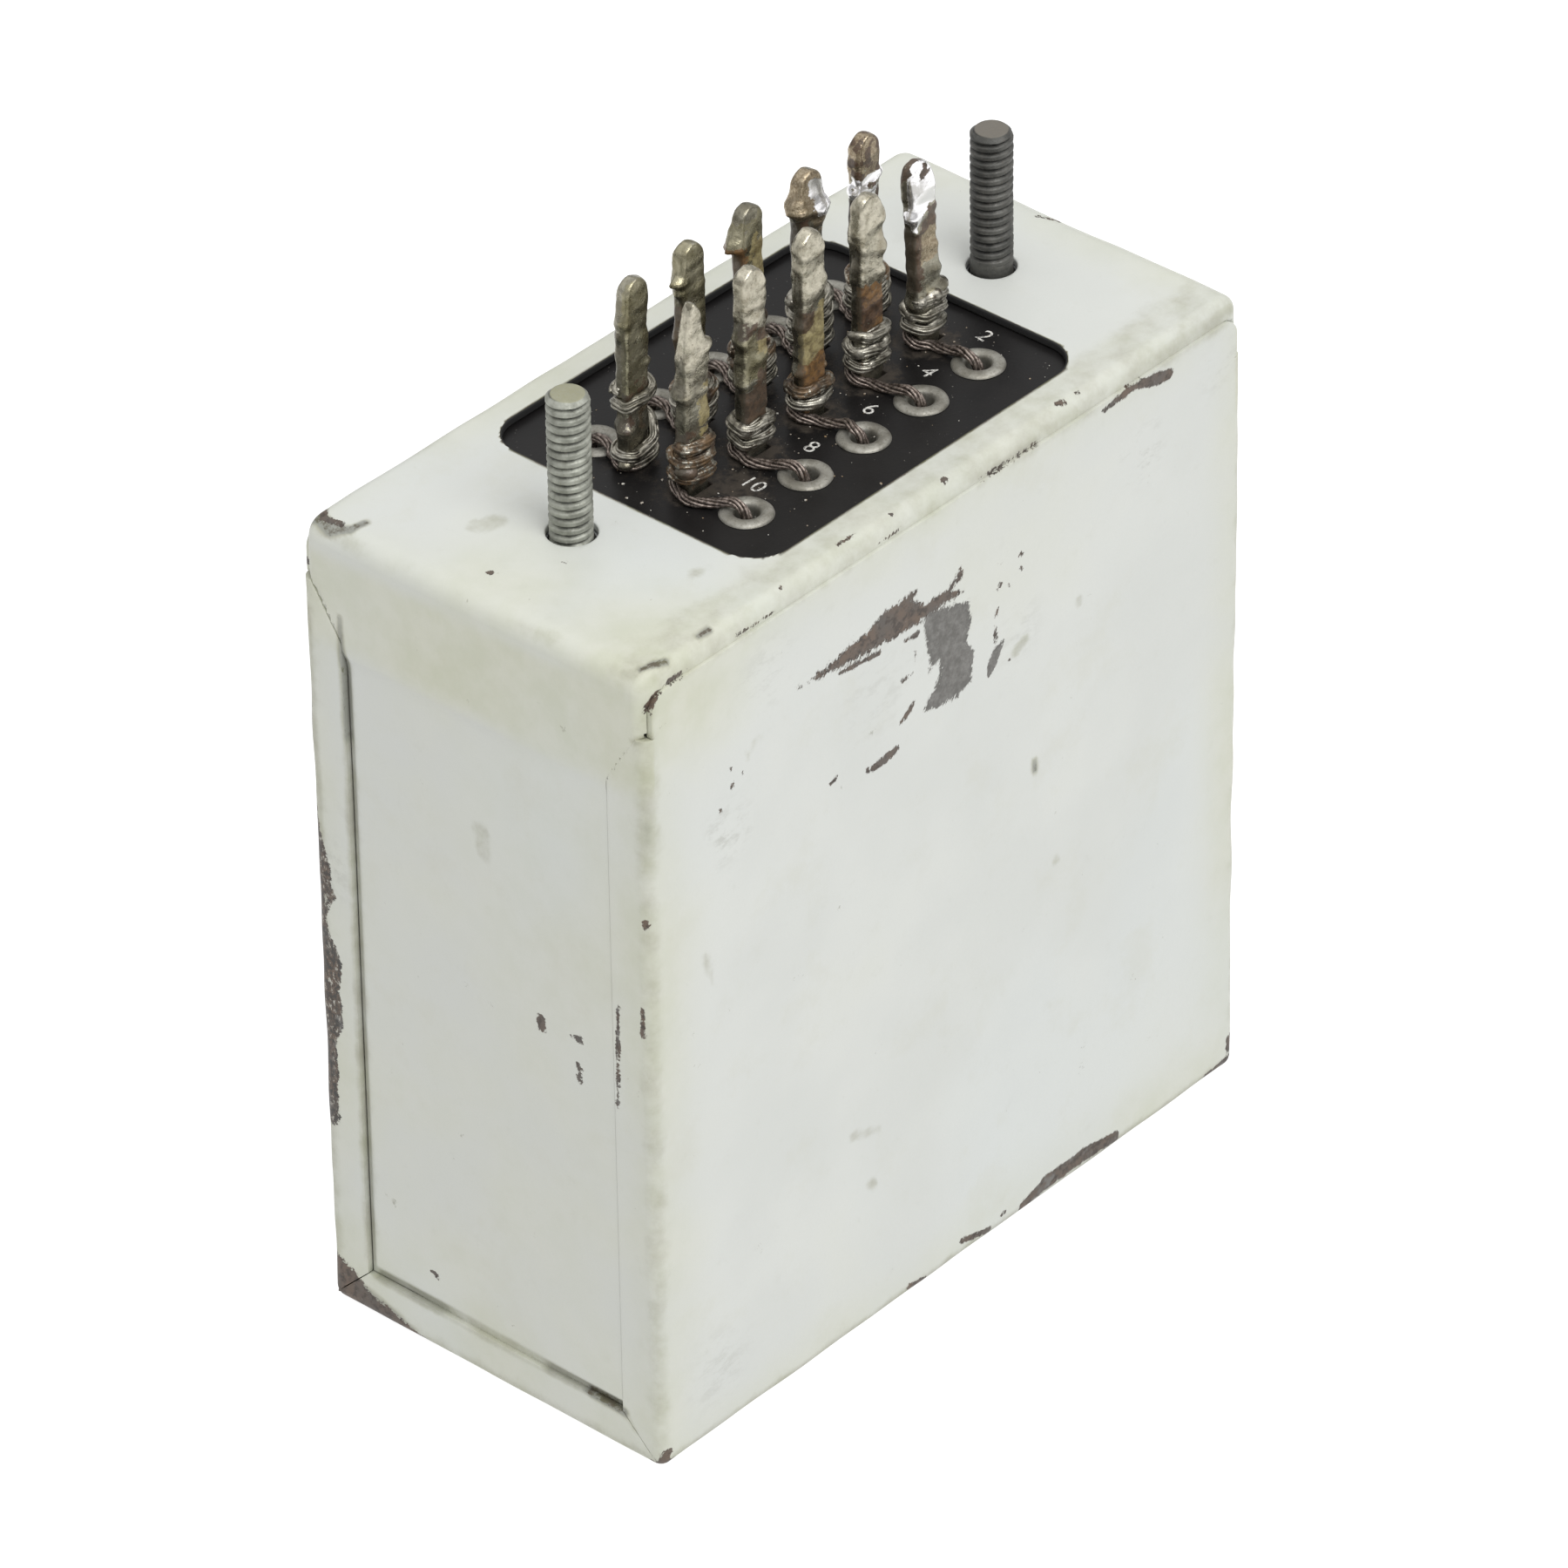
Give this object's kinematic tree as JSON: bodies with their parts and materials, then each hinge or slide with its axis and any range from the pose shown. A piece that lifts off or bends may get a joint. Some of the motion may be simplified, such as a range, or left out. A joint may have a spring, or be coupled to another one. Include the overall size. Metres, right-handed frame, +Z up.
{
  "type": "solid state relay",
  "caption": "Sealed relay module in a painted sheet-steel can, with solder-blade terminals on a board in the top and a threaded mounting stud at each end of the top.",
  "frame": {"origin": "middle of the underside of the can", "axes": "+Z up through the terminals and studs; X along the can's long side, with the lower-numbered places at -X; -Y is the front plate"},
  "size_m": [0.099, 0.0496, 0.1269],
  "materials": {
    "painted_steel": "aged pale grey-green enamel over primer, chipped at the edges",
    "phenolic": "black laminate, semi-matt, dusty",
    "plated_steel": "dull grey plating",
    "solder": "old solder with rosin stains",
    "tinned_brass": "dull tin plate",
    "tinned_copper": "tinned strands, worn to copper",
    "aluminium": "mill finish",
    "core_iron": "lamination stack",
    "nylon": "moulded",
    "copper": "enamelled winding",
    "compound": "cast compound",
    "glass_epoxy": "laminate",
    "component_body": "moulded bodies"
  },
  "bodies": {
    "root": {"can_wrapper": "painted_steel", "top_cover": "painted_steel", "terminal_board": "phenolic", "stud_left": "plated_steel", "stud_right": "plated_steel", "terminal_front_1": "solder", "terminal_front_2": "solder", "terminal_front_3": "solder", "terminal_front_4": "solder", "terminal_front_5": "solder", "terminal_back_1": "solder", "terminal_back_2": "solder", "terminal_back_3": "solder", "terminal_back_4": "solder", "terminal_back_5": "solder", "eyelet_front_1": "tinned_brass", "eyelet_front_2": "tinned_brass", "eyelet_front_3": "tinned_brass", "eyelet_front_4": "tinned_brass", "eyelet_front_5": "tinned_brass", "eyelet_back_1": "tinned_brass", "eyelet_back_2": "tinned_brass", "eyelet_back_3": "tinned_brass", "eyelet_back_4": "tinned_brass", "eyelet_back_5": "tinned_brass", "lead_front_1": "tinned_copper", "lead_front_2": "tinned_copper", "lead_front_3": "tinned_copper", "lead_front_4": "tinned_copper", "lead_front_5": "tinned_copper", "lead_back_1": "tinned_copper", "lead_back_2": "tinned_copper", "lead_back_3": "tinned_copper", "lead_back_4": "tinned_copper", "lead_back_5": "tinned_copper", "mounting_cradle": "aluminium", "potting_compound": "compound", "transformer_core": "core_iron", "transformer_bobbin": "nylon", "transformer_winding": "copper", "heat_sink": "aluminium", "thyristor_left": "plated_steel", "thyristor_right": "plated_steel", "thyristor_nut_left": "plated_steel", "thyristor_nut_right": "plated_steel", "circuit_board": "glass_epoxy", "board_standoff_left": "plated_steel", "board_standoff_right": "plated_steel", "board_screw_left": "plated_steel", "board_screw_right": "plated_steel", "transistor_1": "plated_steel", "transistor_2": "plated_steel", "diode_1": "component_body", "diode_2": "component_body", "resistor_1": "component_body", "resistor_2": "component_body", "capacitor": "component_body"}
  },
  "joints": []
}
